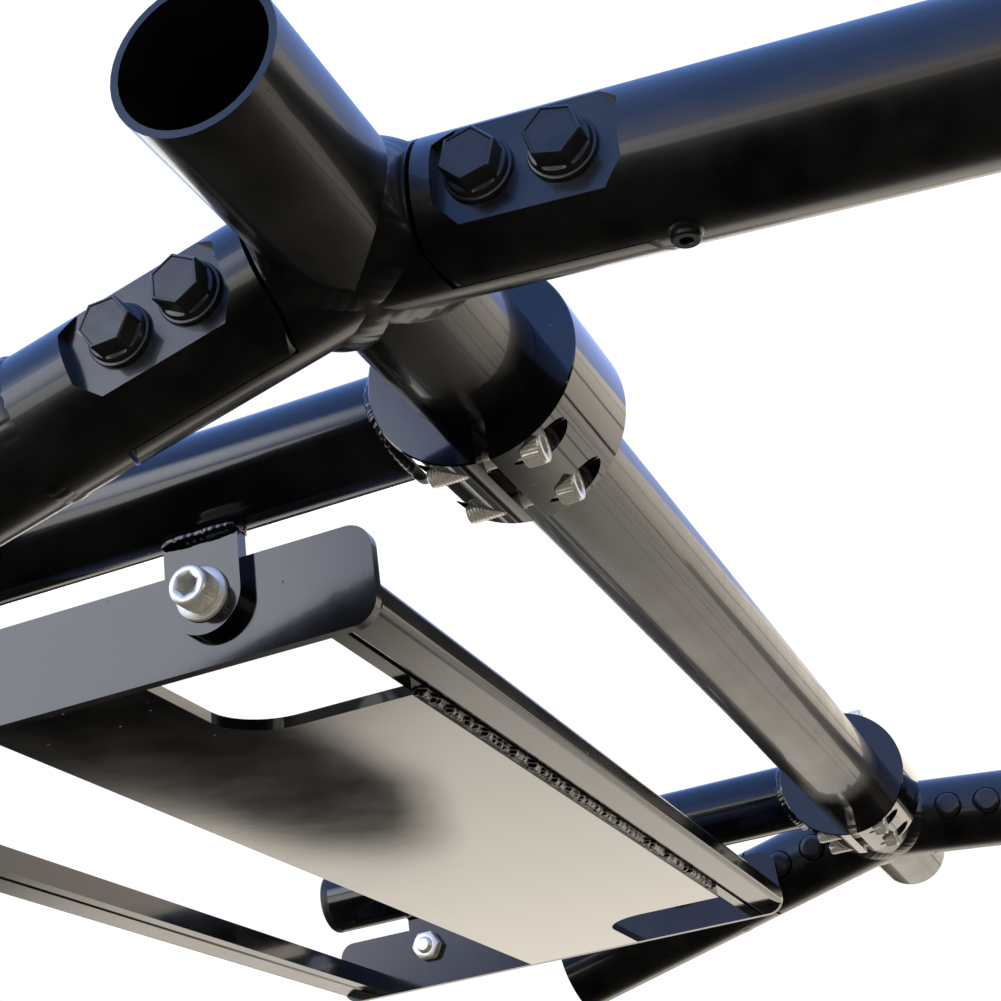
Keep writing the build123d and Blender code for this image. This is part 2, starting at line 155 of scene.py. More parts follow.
class FastenerSizes(bpy.types.PropertyGroup):
    lap_washer: length("Lap washer", "Radius of the washers under the lap bolts", 11 * MM)
    lap_flange: length("Bolt flange", "Radius of the lap bolts' flange", 10 * MM)
    lap_flange_height: length("Bolt flange height", "Height of the lap bolts' flange", 1.8 * MM)
    lap_hex: length("Bolt hexagon", "Size across flats of the lap bolts", 16 * MM)
    lap_shank: length("Bolt shank", "Radius of the lap bolts' thread", 5 * MM)
    clamp_head: length("Clamp screw head", "Radius of the clamp screws' heads", 6.5 * MM)
    clamp_head_height: length("Clamp screw head height", "Height of the clamp screws' heads", 8 * MM)
    clamp_hex: length("Clamp screw socket", "Size across flats of the clamp screws' sockets", 6 * MM)
    clamp_socket: length("Clamp screw socket depth", "Depth of the clamp screws' sockets", 4.5 * MM)
    clamp_neck: length("Clamp screw neck", "Length of the clamp screws' plain neck", 15 * MM)
    clamp_shank: length("Clamp screw thread", "Radius of the clamp screws' thread", 4 * MM)
    clamp_pitch: length("Clamp screw pitch", "Thread pitch of the clamp screws", 1.25 * MM)
    tab_head: length("Tab screw head", "Radius of the tab screws' heads", 8 * MM)
    tab_head_height: length("Tab screw head height", "Height of the tab screws' heads", 10 * MM)
    tab_hex: length("Tab screw socket", "Size across flats of the tab screws' sockets", 8 * MM)
    tab_socket: length("Tab screw socket depth", "Depth of the tab screws' sockets", 5.5 * MM)
    tab_shank: length("Tab screw thread", "Radius of the tab screws' thread", 5 * MM)
    tab_pitch: length("Tab screw pitch", "Thread pitch of the tab screws", 1.5 * MM)
    tab_nut_hex: length("Tab nut", "Size across flats of the tab nuts", 17 * MM)


class WeldSizes(bpy.types.PropertyGroup):
    ripple: length("Ripple", "Distance between the ripples of a bead", 3.2 * MM)
    cage_toe: length("Cage weld reach", "How far the cage welds reach over each tube", 8 * MM)
    cage_limit: length(
        "Cage weld limit", "Distance along a rail that the cage welds stay within, outboard", 26.4 * MM
    )
    cage_crown: length("Cage weld crown", "How far the cage welds stand over their chord", 0.35 * MM)
    arm_toe: length("Arm weld reach", "How far the arm welds reach over each surface", 4.5 * MM)
    arm_crown: length("Arm weld crown", "How far the arm welds stand over their chord", 0.9 * MM)
    ring: length("Rail weld", "Half width of the ring weld between a rear coupler and its rail", 4.5 * MM)
    ring_sink: length("Rail weld sink", "Depth of the ring weld's middle under the tube", 0.9 * MM)
    tab: length("Tab weld", "Radius of the bead round the top of each tab", 3.1 * MM)
    tab_inset: length("Tab weld inset", "How far the tab welds lie inside the tabs' edges", 1.8 * MM)
    tab_offset: length("Tab offset", "How far a tab's outer face lies from its arm's middle", 4 * MM)
    bar: length("Crossbar weld", "Radius of the beads at the ends of the crossbars", 1.7 * MM)
    bar_start: length("Crossbar weld start", "From the crossbars' front to their end beads", 3 * MM)
    plate: length("Tray weld", "Radius of the bead along the tray plate's front edge", 2.0 * MM)
    plate_start: length("Tray weld start", "From the tray's notches to its front bead", 6 * MM)
    plate_sway: length("Tray weld sway", "How far the tray's front bead strays to a side", 1.3 * MM)
    boss_distance: length("Boss place", "Cross tube axis to the small boss under a front rail", 104 * MM)
    boss: length("Boss", "Radius of the small boss under a front rail", 4.5 * MM)


class FinishColours(bpy.types.PropertyGroup):
    cage: colour("Cage", "Powder coat of the cage tubes", "060607")
    rack: colour("Rack", "Powder coat of the rack", "050506")
    hardware: colour("Black hardware", "Black oxide of the lap bolts", "1B1B1C")
    zinc: colour("Zinc", "Bright zinc plate of the screws", "E6E4DC")
    plastic: colour("Plastic", "Arm end caps", "161617")
    cage_roughness: share("Cage roughness", "How matt the cage's powder coat is", 0.30)
    rack_roughness: share("Rack roughness", "How matt the rack's powder coat is", 0.12)


class StageSettings(bpy.types.PropertyGroup):
    floor_drop: length("Floor drop", "Depth of the floor below the cross tube", 1.6)
    floor_reach: length("Floor reach", "Half the width of the floor", 120)
    card_lift: length("Card lift", "Height of the mirrored cards over the floor", 0.1)
    floor: colour("Floor", "Colour of the floor", "D9D3C9")
    sky: colour("Surround", "Colour of the bright surround", "FFFFFF")
    sky_strength: strength("Surround strength", "Brightness of the surround", 1.05)
    key_power: FloatProperty(
        name="Key power", description="Power of the softbox overhead", default=60, min=0, subtype="POWER"
    )
    key_size: length("Key size", "Diameter of the softbox overhead", 1.6)
    key_place: vector("Key place", "Place of the softbox overhead", (-0.6, 0.6, 2.2), "TRANSLATION")
    glow_strength: strength("Card strength", "Brightness of the warm reflector card", 1.35)
    mirror_strength: strength("Mirrored sky", "Brightness of the sky in the gloss", 3.0)
    camera_place: vector("Camera", "Place of the camera", (-0.85175, -0.18076, -0.32483), "TRANSLATION")
    camera_aim: vector("Aim", "Direction the camera looks in", (0.85081, 0.28838, 0.43928), "DIRECTION")
    camera_up: vector("Up", "Direction that is up in view", (-0.36733, -0.27138, 0.88962), "DIRECTION")
    lens: FloatProperty(
        name="Lens", description="Focal length on a 36 mm sensor", default=65, min=1, unit="CAMERA"
    )


# ---- Meshes ----
def mesh_piece(name, points, faces, body, slot, sharp=FINE_ANGLE):
    """A piece from points and faces, which rides on a body and takes its finish from a slot."""
    mesh = bpy.data.meshes.new(name)
    mesh.from_pydata([tuple(p) for p in points], [], faces)
    mesh.validate()
    mesh.polygons.foreach_set("use_smooth", [True] * len(mesh.polygons))
    mesh.set_sharp_from_angle(angle=sharp)
    mesh.materials.append(material_for(slot))
    piece = bpy.data.objects.new(name, mesh)
    bpy.context.scene.collection.objects.link(piece)
    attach(piece, body)
    return piece


def skin(rings, wrap=True, ends=True):
    """Points and faces of a skin over rings that have the same number of points."""
    count = len(rings[0])
    faces = []
    for row in range(len(rings) - 1):
        for column in range(count if wrap else count - 1):
            a = row * count + column
            b = row * count + (column + 1) % count
            faces.append((a, b, b + count, a + count))
    if ends:
        faces.append(tuple(reversed(range(count))))
        faces.append(tuple(range((len(rings) - 1) * count, len(rings) * count)))
    return [Vector(p) for ring in rings for p in ring], faces


def placed(solids, places):
    """Copies of several skins at each place, as one list of points and one of faces."""
    points, faces = [], []
    for place in places:
        for solid_points, solid_faces in solids:
            start = len(points)
            points += [place @ p for p in solid_points]
            faces += [tuple(start + i for i in face) for face in solid_faces]
    return points, faces


def round_ring(radius, height, count=TURN_POINTS):
    return [(radius * cos(tau * i / count), radius * sin(tau * i / count), height) for i in range(count)]


def hex_reach(angle, across):
    """Distance from a hexagon's middle to its edge at an angle."""
    return across / 2 / cos(angle % (pi / 3) - pi / 6)


def hex_ring(across, height, slope=0.0, flat=0.0):
    """Hexagon whose corners drop with a slope where they reach past a radius, as a chamfer leaves them."""
    ring = []
    for i in range(TURN_POINTS):
        angle = tau * i / TURN_POINTS
        reach = hex_reach(angle, across)
        ring.append((reach * cos(angle), reach * sin(angle), height - slope * max(0, reach - flat)))
    return ring


def knurled_ring(radius, height, depth, teeth=36):
    """Ring with the straight teeth of a rolled knurl."""
    ring = []
    for i in range(TURN_POINTS):
        angle = tau * i / TURN_POINTS
        tooth = 0.5 + 0.5 * cos(teeth * angle)
        ring.append(((radius - depth * tooth) * cos(angle), (radius - depth * tooth) * sin(angle), height))
    return ring


def thread(radius, pitch, low, high):
    """Skin of a threaded shank, from low up to high, slimmer where it starts."""
    steps = ceil((high - low) / pitch * 6)
    rings = []
    for step in range(steps + 1):
        height = low + (high - low) * step / steps
        lead = min(1, (height - low) / (1.2 * pitch))
        ring = []
        for i in range(THREAD_POINTS):
            angle = tau * i / THREAD_POINTS
            turn = height / pitch - i / THREAD_POINTS
            ridge = abs((turn % 1) * 2 - 1)
            reach = (radius - THREAD_DEPTH * pitch * (1 - ridge)) * (0.84 + 0.16 * lead)
            ring.append((reach * cos(angle), reach * sin(angle), height))
        rings.append(ring)
    return skin(rings)


def socket_head(radius, height, across, depth):
    """Skin of a knurled socket head on its seat, with a hexagon sunk into its top."""
    knurl = 0.056 * radius
    rings = [
        round_ring(0.92 * radius, 0),
        round_ring(0.97 * radius, 0.04 * height),
        knurled_ring(radius, 0.09 * height, knurl),
        knurled_ring(radius, 0.80 * height, knurl),
        round_ring(0.985 * radius, 0.84 * height),
        round_ring(0.985 * radius, 0.90 * height),
        round_ring(0.955 * radius, 0.96 * height),
        round_ring(0.93 * radius, 0.985 * height),
        round_ring(0.88 * radius, height),
        round_ring(0.60 * across / 0.9, height),
        hex_ring(across, height - 0.35 * MM),
        hex_ring(across, height - depth),
        round_ring(0.1 * across, height - 1.15 * depth),
    ]
    return skin(rings)


def flange_head(flange, across, flange_height, height):
    """Skin of a flanged hexagon head on its seat, with chamfered corners and a dished face."""
    rings = [
        round_ring(0.97 * flange, 0),
        round_ring(flange, 0.15 * flange_height),
        round_ring(flange, 0.45 * flange_height),
        round_ring(0.985 * flange, 0.6 * flange_height),
        round_ring(0.59 * across, flange_height),
        hex_ring(across * 1.01, flange_height + 0.25 * MM),
        hex_ring(across, flange_height + 0.7 * MM),
        hex_ring(across, height - 0.5 * MM),
        hex_ring(0.95 * across, height),
        hex_ring(0.89 * across, height),
        hex_ring(0.85 * across, height - 0.35 * MM),
    ]
    return skin(rings)


def round_bar(radius, low, high, count=48):
    edge = 0.12 * radius
    return skin([
        round_ring(radius - edge, low, count),
        round_ring(radius, low + edge, count),
        round_ring(radius, high - edge, count),
        round_ring(radius - edge, high, count),
    ])


def washer(outer, inner, thickness, count=96):
    """Skin of a pressed washer, its top edge rounded by the punch and its lower edge crisp."""
    edge = 0.3 * thickness
    rings = [
        round_ring(inner, thickness, count),
        round_ring(inner + 0.3 * edge, thickness, count),
        round_ring(outer - edge, thickness, count),
        round_ring(outer - 0.3 * edge, thickness - 0.3 * edge, count),
        round_ring(outer, thickness - edge, count),
        round_ring(outer, 0.08 * thickness, count),
        round_ring(outer - 0.08 * thickness, 0, count),
        round_ring(inner, 0, count),
        round_ring(inner, thickness, count),
    ]
    return skin(rings, ends=False)


def hex_nut(across, inner, thickness):
    """Skin of a nut on its seat, with chamfered corners and a chamfered bore."""
    face = 0.475 * across
    drop = tan(radians(30))
    lead, mouth = 0.4 * MM, inner + 0.5 * MM
    rings = [
        round_ring(inner, lead),
        round_ring(mouth, 0),
        round_ring(face, 0),
        hex_ring(across, 0, -drop, face),
        hex_ring(across, thickness, drop, face),
        round_ring(face, thickness),
        round_ring(mouth, thickness),
        round_ring(inner, thickness - lead),
        round_ring(inner, lead),
    ]
    return skin(rings, ends=False)


# ---- Weld beads ----
def ripple(distance, pitch, seed):
    """Scalloped rise of one puddle after another, from 0 to 1, with an uneven pitch."""
    drift = 0.35 * noise.noise(Vector((distance / (7 * pitch), seed, 0)))
    phase = (distance / pitch + drift) % 1
    return sqrt(max(0.0, 1 - (2 * phase - 1) ** 2))


def wander(distance, span, seed):
    """Slow uneven change along a bead, about -1 to 1."""
    return noise.noise(Vector((distance / span, 3.7 * seed, 1.3)))


def saddle_weld(centre, direction, host_radius, branch_radius, toe, crown, pitch, seed, limit=1.0):
    """Skin of the fillet weld where a branch tube meets a host tube that lies along x. Outboard, it
    keeps within a limit along the branch."""
    along = Vector(direction).normalized()
    upright = Vector((1, 0, 0)).cross(along).normalized()
    steps = ceil(branch_radius * tau / (pitch / 6))
    across_steps = 10
    rings = []
    travelled = 0.0
    before = None
    for step in range(steps + 1):
        angle = tau * step / steps
        side = Vector((1, 0, 0)) * cos(angle) + upright * sin(angle)
        reach = sqrt(max(0.0, host_radius**2 - (branch_radius * sin(angle)) ** 2))
        root = centre + along * reach + side * branch_radius
        if before is not None:
            travelled += (root - before).length
        before = root
        flat = root - centre
        flat.x = 0
        host_out = flat.normalized()
        rise = ripple(travelled, pitch, seed)
        spread = toe * (1 + 0.22 * wander(travelled, 9 * pitch, seed) + 0.05 * rise)
        outward = 1 if cos(angle) >= 0 else -1
        room = limit - reach if outward * centre.x > 0 else spread
        host_toe = root + Vector((outward * spread, 0, 0)) - host_out * TOE_SINK
        branch_toe = root + along * min(spread, room) - side * TOE_SINK
        bulge = (host_out + side).normalized()
        lift = crown * (1 + 1.4 * wander(travelled, 3 * pitch, seed + 5) + 0.5 * rise)
        ring = []
        for k in range(across_steps + 1):
            t = k / across_steps
            ring.append(host_toe.lerp(branch_toe, t) + bulge * lift * sin(pi * t) ** 0.8)
        ring.append(root - bulge * ROOT_SINK)
        rings.append(ring)
    return skin(rings, ends=False)


def bead(path, radius, pitch, seed, closed=False, sway=0.0, sway_span=1.0):
    """Skin of a round bead along a level path of points close together, rounded off at its ends."""
    rings = []
    travelled = 0.0
    count = len(path)
    for i, point in enumerate(path):
        after = path[(i + 1) % count] if closed or i < count - 1 else point
        before = path[i - 1] if closed or i > 0 else point
        along = (after - before).normalized()
        side = along.cross(Vector((0, 0, 1))).normalized()
        up = side.cross(along).normalized()
        step = (point - path[i - 1]).length
        if i:
            travelled += step
        taper = 1.0
        if not closed:
            end_steps = max(1, 1.2 * radius / step)
            taper = min(1.0, sqrt(max(0.02, min(i, count - 1 - i) / end_steps)))
        uneven = 0.92 + 0.10 * ripple(travelled, pitch, seed) + 0.30 * wander(travelled, 3 * pitch, seed)
        swell = taper * radius * uneven
        shift = 2 * sway * wander(travelled, sway_span, seed + 9)
        shift += 0.12 * radius * wander(travelled, 3 * pitch, seed + 2)
        ring = []
        for k in range(BEAD_POINTS):
            angle = tau * k / BEAD_POINTS
            ring.append(point + side * (shift + swell * cos(angle)) + up * swell * sin(angle))
        rings.append(ring)
    if closed:
        rings.append(rings[0])
    return skin(rings, ends=not closed)


def bead_round(ring, centre, axis, radius, pitch, seed):
    """Skin of a bead round a tube, wider along the tube than it is high, and fuller on top."""
    rings = []
    travelled = 0.0
    for i, point in enumerate(ring):
        if i:
            travelled += (point - ring[i - 1]).length
        out = (point - centre).normalized()
        upward = max(0, out.z)
        rise = ripple(travelled, pitch, seed)
        wide = radius * (0.95 + 0.1 * rise + 0.15 * wander(travelled, 6 * pitch, seed))
        fullness = 0.3 + 0.35 * wander(travelled, 3 * pitch, seed + 1)
        high = radius * (0.24 + fullness * upward + 0.06 * rise)
        middle_point = point + axis * (0.2 * radius * wander(travelled, 8 * pitch, seed + 3))
        angles = [tau * k / BEAD_POINTS for k in range(BEAD_POINTS)]
        rings.append([middle_point + axis * wide * cos(a) + out * high * sin(a) for a in angles])
    rings.append(rings[0])
    return skin(rings, ends=False)


def dense(corners, step, closed=False):
    """Points a step apart along straight runs between corners."""
    pairs = list(zip(corners, corners[1:] + ([corners[0]] if closed else [])))
    if not closed:
        pairs = pairs[: len(corners) - 1]
    points = []
    for a, b in pairs:
        a, b = Vector(a), Vector(b)
        count = max(1, ceil((b - a).length / step))
        points += [a.lerp(b, i / count) for i in range(count)]
    if not closed:
        points.append(Vector(corners[-1]))
    return points


# ---- Materials ----
def add_node(tree, kind, values=None, links=None, **settings):
    """Adds a node with its settings, its socket values and the links into it. A link comes from a
    socket, or from the first output that a node has in use."""
    made = tree.nodes.new(kind)
    for key, value in settings.items():
        setattr(made, key, value)
    for socket, value in (values or {}).items():
        made.inputs[socket].default_value = value
    for socket, source in (links or {}).items():
        if isinstance(source, bpy.types.Node):
            source = next(output for output in source.outputs if output.enabled)
        tree.links.new(source, made.inputs[socket])
    return made


def per_metre(size):
    """Texture scale that gives a pattern of that size, in millimetres."""
    return 1 / (size * MM)


def new_material(name):
    material = bpy.data.materials.new(name)
    material.use_nodes = True
    material.node_tree.nodes.clear()
    return material


def finished(material, shader):
    output = add_node(material.node_tree, "ShaderNodeOutputMaterial", links={"Surface": shader})
    output.is_active_output = True
    return material


def powder_coat(name, colour, roughness, peel_size, peel_height, coat, dust):
    """Baked polyester powder on steel: deep black with the shallow dimples of orange peel, a few
    nibs where grit was caught under the film, and a faint film of dust that dulls the gloss."""
    material = new_material(name)
    tree = material.node_tree
    place = add_node(tree, "ShaderNodeTexCoord").outputs["Object"]
    peel = add_node(
        tree, "ShaderNodeTexNoise", {"Scale": per_metre(peel_size), "Detail": 2.0, "Roughness": 0.45},
        {"Vector": place},
    )
    nibs = add_node(
        tree, "ShaderNodeTexVoronoi", {"Scale": per_metre(9), "Randomness": 1.0}, {"Vector": place}
    )
    nib = add_node(
        tree, "ShaderNodeMapRange", {"From Min": 0.0, "From Max": 0.07, "To Min": 1.0, "To Max": 0.0},
        {"Value": nibs},
    )
    patches = add_node(
        tree, "ShaderNodeTexNoise", {"Scale": per_metre(38), "Detail": 5.0, "Roughness": 0.62},
        {"Vector": place},
    )
    film = add_node(
        tree, "ShaderNodeMapRange", {"From Min": 0.42, "From Max": 0.72, "To Min": 0.0, "To Max": dust},
        {"Value": patches},
    )
    dusty = tuple(min(1.0, part + 0.06) for part in colour)
    tint = add_node(
        tree, "ShaderNodeMix", {"A": (*colour, 1), "B": (*dusty, 1)}, {"Factor": film}, data_type="RGBA"
    )
    dull = add_node(
        tree, "ShaderNodeMapRange",
        {"From Min": 0.3, "From Max": 0.75, "To Min": roughness * 0.85, "To Max": roughness * 1.25 + 0.02},
        {"Value": patches},
    )
    peel_bump = add_node(
        tree, "ShaderNodeBump", {"Strength": 1.0, "Distance": peel_height * MM}, {"Height": peel}
    )
    nib_bump = add_node(
        tree, "ShaderNodeBump", {"Strength": 0.6, "Distance": 0.12 * MM},
        {"Height": nib, "Normal": peel_bump},
    )
    shader = add_node(
        tree, "ShaderNodeBsdfPrincipled", {"IOR": 1.5, "Coat Weight": coat, "Coat Roughness": 0.05},
        {"Base Color": tint, "Roughness": dull, "Normal": nib_bump},
    )
    return finished(material, shader)


def plated_steel(name, colour, roughness, stain):
    """Zinc-plated steel: bright and slightly cool, smudged and dulled by handling in random patches."""
    material = new_material(name)
    tree = material.node_tree
    place = add_node(tree, "ShaderNodeTexCoord").outputs["Object"]
    smudge = add_node(
        tree, "ShaderNodeTexNoise", {"Scale": per_metre(4), "Detail": 4.0, "Roughness": 0.6},
        {"Vector": place},
    )
    grain = add_node(
        tree, "ShaderNodeTexNoise", {"Scale": per_metre(0.35), "Detail": 2.0}, {"Vector": place}
    )
    mix = add_node(
        tree, "ShaderNodeMix", {"A": (*colour, 1), "B": (*stain, 1)}, {"Factor": smudge}, data_type="RGBA"
    )
    rough = add_node(
        tree, "ShaderNodeMapRange",
        {"From Min": 0.3, "From Max": 0.7, "To Min": roughness * 0.8, "To Max": roughness * 1.3},
        {"Value": smudge},
    )
    bump = add_node(tree, "ShaderNodeBump", {"Strength": 0.5, "Distance": 0.02 * MM}, {"Height": grain})
    shader = add_node(
        tree, "ShaderNodeBsdfPrincipled", {"Metallic": 0.65},
        {"Base Color": mix, "Roughness": rough, "Normal": bump},
    )
    return finished(material, shader)


def black_oxide(name, colour):
    """Black oxide on forged steel: dark grey metal under an oily film, with a fine forged grain."""
    material = new_material(name)
    tree = material.node_tree
    place = add_node(tree, "ShaderNodeTexCoord").outputs["Object"]
    grain = add_node(
        tree, "ShaderNodeTexNoise", {"Scale": per_metre(0.7), "Detail": 3.0, "Roughness": 0.6},
        {"Vector": place},
    )
    wear = add_node(tree, "ShaderNodeTexNoise", {"Scale": per_metre(6), "Detail": 4.0}, {"Vector": place})
    rough = add_node(
        tree, "ShaderNodeMapRange", {"From Min": 0.3, "From Max": 0.7, "To Min": 0.22, "To Max": 0.42},
        {"Value": wear},
    )
    bump = add_node(tree, "ShaderNodeBump", {"Strength": 0.6, "Distance": 0.05 * MM}, {"Height": grain})
    shader = add_node(
        tree, "ShaderNodeBsdfPrincipled",
        {
            "Base Color": (*colour, 1), "Metallic": 0.35, "IOR": 1.5,
            "Coat Weight": 0.4, "Coat Roughness": 0.15,
        },
        {"Roughness": rough, "Normal": bump},
    )
    return finished(material, shader)


def moulded_plastic(name, colour):
    """Moulded polyethylene: soft black with the fine spark-eroded grain of its tool."""
    material = new_material(name)
    tree = material.node_tree
    place = add_node(tree, "ShaderNodeTexCoord").outputs["Object"]
    grain = add_node(
        tree, "ShaderNodeTexNoise", {"Scale": per_metre(0.8), "Detail": 3.0, "Roughness": 0.7},
        {"Vector": place},
    )
    bump = add_node(tree, "ShaderNodeBump", {"Strength": 0.7, "Distance": 0.06 * MM}, {"Height": grain})
    shader = add_node(
        tree, "ShaderNodeBsdfPrincipled", {"Base Color": (*colour, 1), "Roughness": 0.5, "IOR": 1.5},
        {"Normal": bump},
    )
    return finished(material, shader)


def material_for(slot):
    """The material of a record slot, made once."""
    finish = bpy.context.scene.cage_finish
    gloss = finish.rack_roughness
    makers = {
        "cage_powder_coat": (powder_coat, {
            "name": "satin_powder_coat", "colour": finish.cage, "roughness": finish.cage_roughness,
            "peel_size": 2.2, "peel_height": 0.030, "coat": 0.40, "dust": 0.10,
        }),
        "rack_gloss": (powder_coat, {
            "name": "gloss_powder_coat", "colour": finish.rack, "roughness": gloss,
            "peel_size": 4.0, "peel_height": 0.012, "coat": 0.25, "dust": 0.08,
        }),
        "clamp_gloss": (powder_coat, {
            "name": "gloss_coated_aluminium", "colour": finish.rack, "roughness": 0.5 * gloss,
            "peel_size": 9.0, "peel_height": 0.020, "coat": 0.5, "dust": 0.03,
        }),
        "plate_gloss": (powder_coat, {
            "name": "gloss_coated_sheet", "colour": finish.rack, "roughness": 0.7 * gloss,
            "peel_size": 7.0, "peel_height": 0.014, "coat": 1.0, "dust": 0.08,
        }),
        "zinc_hardware": (plated_steel, {
            "name": "bright_zinc_plate", "colour": finish.zinc, "roughness": 0.30,
            "stain": linear("C6C4BC"),
        }),
        "black_hardware": (black_oxide, {"name": "black_oxide_steel", "colour": finish.hardware}),
        "cap_plastic": (moulded_plastic, {"name": "moulded_polyethylene", "colour": finish.plastic}),
    }
    maker, settings = makers[slot]
    return bpy.data.materials.get(settings["name"]) or maker(**settings)


# ---- Operators ----
class CAGE_OT_finishes(bpy.types.Operator):
    """Give every carried-over part its finish, and break the sharp edges of the parts listed in EDGE_BREAKS
    """

    bl_idname = "cage.finishes"
    bl_label = "Finishes"

    def execute(self, context):
        for part in frame["record"]["subparts"]:
            node = frame["nodes"][part["node"]]
            node.data.materials.clear()
            node.data.materials.append(material_for(part["material_slot"]))
            width = next((w for ending, w in EDGE_BREAKS.items() if part["node"].endswith(ending)), None)
            if width:
                edge = node.modifiers.new("edge_break", "BEVEL")
                edge.width, edge.segments = width, 2
                edge.limit_method, edge.angle_limit = "ANGLE", BREAK_ANGLE
                edge.harden_normals = True
        return {"FINISHED"}


def lap_spots(side, end):
    """Middle of each of a lap's two bolts, at the seat of their washers."""
    node = f"{side}_{end}_bolt_washers"
    _, axis = mount(f"{side}_{end}_rail_bore")
    reach = half_size(node).y - bpy.context.scene.cage_fasteners.lap_washer
    step = axis * (reach / abs(axis.y))
    low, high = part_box(node)
    seat = high.x if side == "near" else low.x
    return [Vector((seat, p.y, p.z)) for p in (middle(node) - step, middle(node) + step)]


class CAGE_OT_lap_bolts(bpy.types.Operator):
    """Flanged bolts and washers of the four half-lap joints"""

    bl_idname = "cage.lap_bolts"
    bl_label = "Lap bolts"

    def execute(self, context):
        sizes = context.scene.cage_fasteners
        for side in SIDES:
            out = Vector((OUTBOARD[side], 0, 0))
            for end in ENDS:
                bolts, washers = f"{side}_{end}_bolts", f"{side}_{end}_bolt_washers"
                _, axis = mount(f"{side}_{end}_rail_bore")
                thickness = 2 * half_size(washers).x
                spots = lap_spots(side, end)
                low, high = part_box(bolts)
                tip = low.x if side == "far" else high.x
                shank = abs(tip - spots[0].x) + thickness
                head = (high.x - low.x) - shank
                seats = [Matrix.Translation(spot) @ frame_along(out, axis) for spot in spots]
                # Each bolt stopped at its own turn when it was tightened.
                turned = [
                    Matrix.Translation(out * thickness) @ seat @ Matrix.Rotation(radians(17 + 31 * i), 4, "Z")
                    for i, seat in enumerate(seats)
                ]
                bolt = [
                    flange_head(sizes.lap_flange, sizes.lap_hex, sizes.lap_flange_height, head),
                    round_bar(sizes.lap_shank, -shank, SHANK_OVERLAP),
                ]
                piece = mesh_piece(f"{bolts}_made", *placed(bolt, turned), "cage", "black_hardware")
                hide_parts(bolts)
                ring = [washer(sizes.lap_washer, sizes.lap_shank + WASHER_PLAY, thickness)]
                piece = mesh_piece(f"{washers}_made", *placed(ring, seats), "cage", "black_hardware")
                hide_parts(washers)
        return {"FINISHED"}


class CAGE_OT_clamp_screws(bpy.types.Operator):
    """Knurled socket screws that close the clamps"""

    bl_idname = "cage.clamp_screws"
    bl_label = "Clamp screws"

    def execute(self, context):
        sizes = context.scene.cage_fasteners
        radius = sizes.clamp_head
        for side in SIDES:
            node = f"{side}_clamp_screws"
            low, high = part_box(node)
            seat = low.y + sizes.clamp_head_height
            neck_end = 1 * MM - sizes.clamp_neck
            screw = [
                socket_head(radius, sizes.clamp_head_height, sizes.clamp_hex, sizes.clamp_socket),
                round_bar(0.78 * sizes.clamp_shank, -sizes.clamp_neck, SHANK_OVERLAP),
                thread(sizes.clamp_shank, sizes.clamp_pitch, seat - high.y, neck_end),
            ]
            places = []
            for i, x in enumerate((low.x + radius, high.x - radius)):
                for k, z in enumerate((low.z + radius, high.z - radius)):
                    turn = Matrix.Rotation(radians(23 * i + 41 * k), 4, "Z")
                    forward = frame_along((0, -1, 0), (1, 0, 0))
                    places.append(Matrix.Translation((x, seat, z)) @ forward @ turn)
            piece = mesh_piece(f"{node}_made", *placed(screw, places), "rack", "zinc_hardware")
            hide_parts(node)
        return {"FINISHED"}


class CAGE_OT_tab_screws(bpy.types.Operator):
    """Socket screws, washers and nuts that hang the side bars from their tabs"""

    bl_idname = "cage.tab_screws"
    bl_label = "Tab screws"

    def execute(self, context):
        sizes = context.scene.cage_fasteners
        for side in SIDES:
            out = Vector((OUTBOARD[side], 0, 0))
            outward = frame_along(out, (0, 1, 0))
            for i, end in enumerate(ENDS):
                tab = f"{side}_{end}_tab"
                low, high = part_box(f"{tab}_screw")
                outer, inner = (low.x, high.x) if side == "near" else (high.x, low.x)
                spot = middle(f"{tab}_screw")
                seat = outer - out.x * sizes.tab_head_height
                screw = [
                    socket_head(sizes.tab_head, sizes.tab_head_height, sizes.tab_hex, sizes.tab_socket),
                    thread(sizes.tab_shank, sizes.tab_pitch, -abs(seat - inner), 0),
                ]
                turn = outward @ Matrix.Rotation(radians(12 + 25 * i), 4, "Z")
                self.fasten(f"{tab}_screw", screw, Matrix.Translation((seat, spot.y, spot.z)) @ turn)
                rim = half_size(f"{tab}_washer")
                ring = washer(rim.y, sizes.tab_shank + WASHER_PLAY, 2 * rim.x)
                nut = hex_nut(
                    sizes.tab_nut_hex, sizes.tab_shank + NUT_PLAY, 2 * half_size(f"{tab}_nut").x
                )
                for node, shape in ((f"{tab}_washer", ring), (f"{tab}_nut", nut)):
                    low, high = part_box(node)
                    x = high.x if side == "near" else low.x
                    self.fasten(node, [shape], Matrix.Translation((x, spot.y, spot.z)) @ outward)
        return {"FINISHED"}

    def fasten(self, node, shapes, place):
        """One zinc-plated piece in the place of its plain node."""
        piece = mesh_piece(f"{node}_made", *placed(shapes, [place]), "rack", "zinc_hardware")
        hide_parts(node)


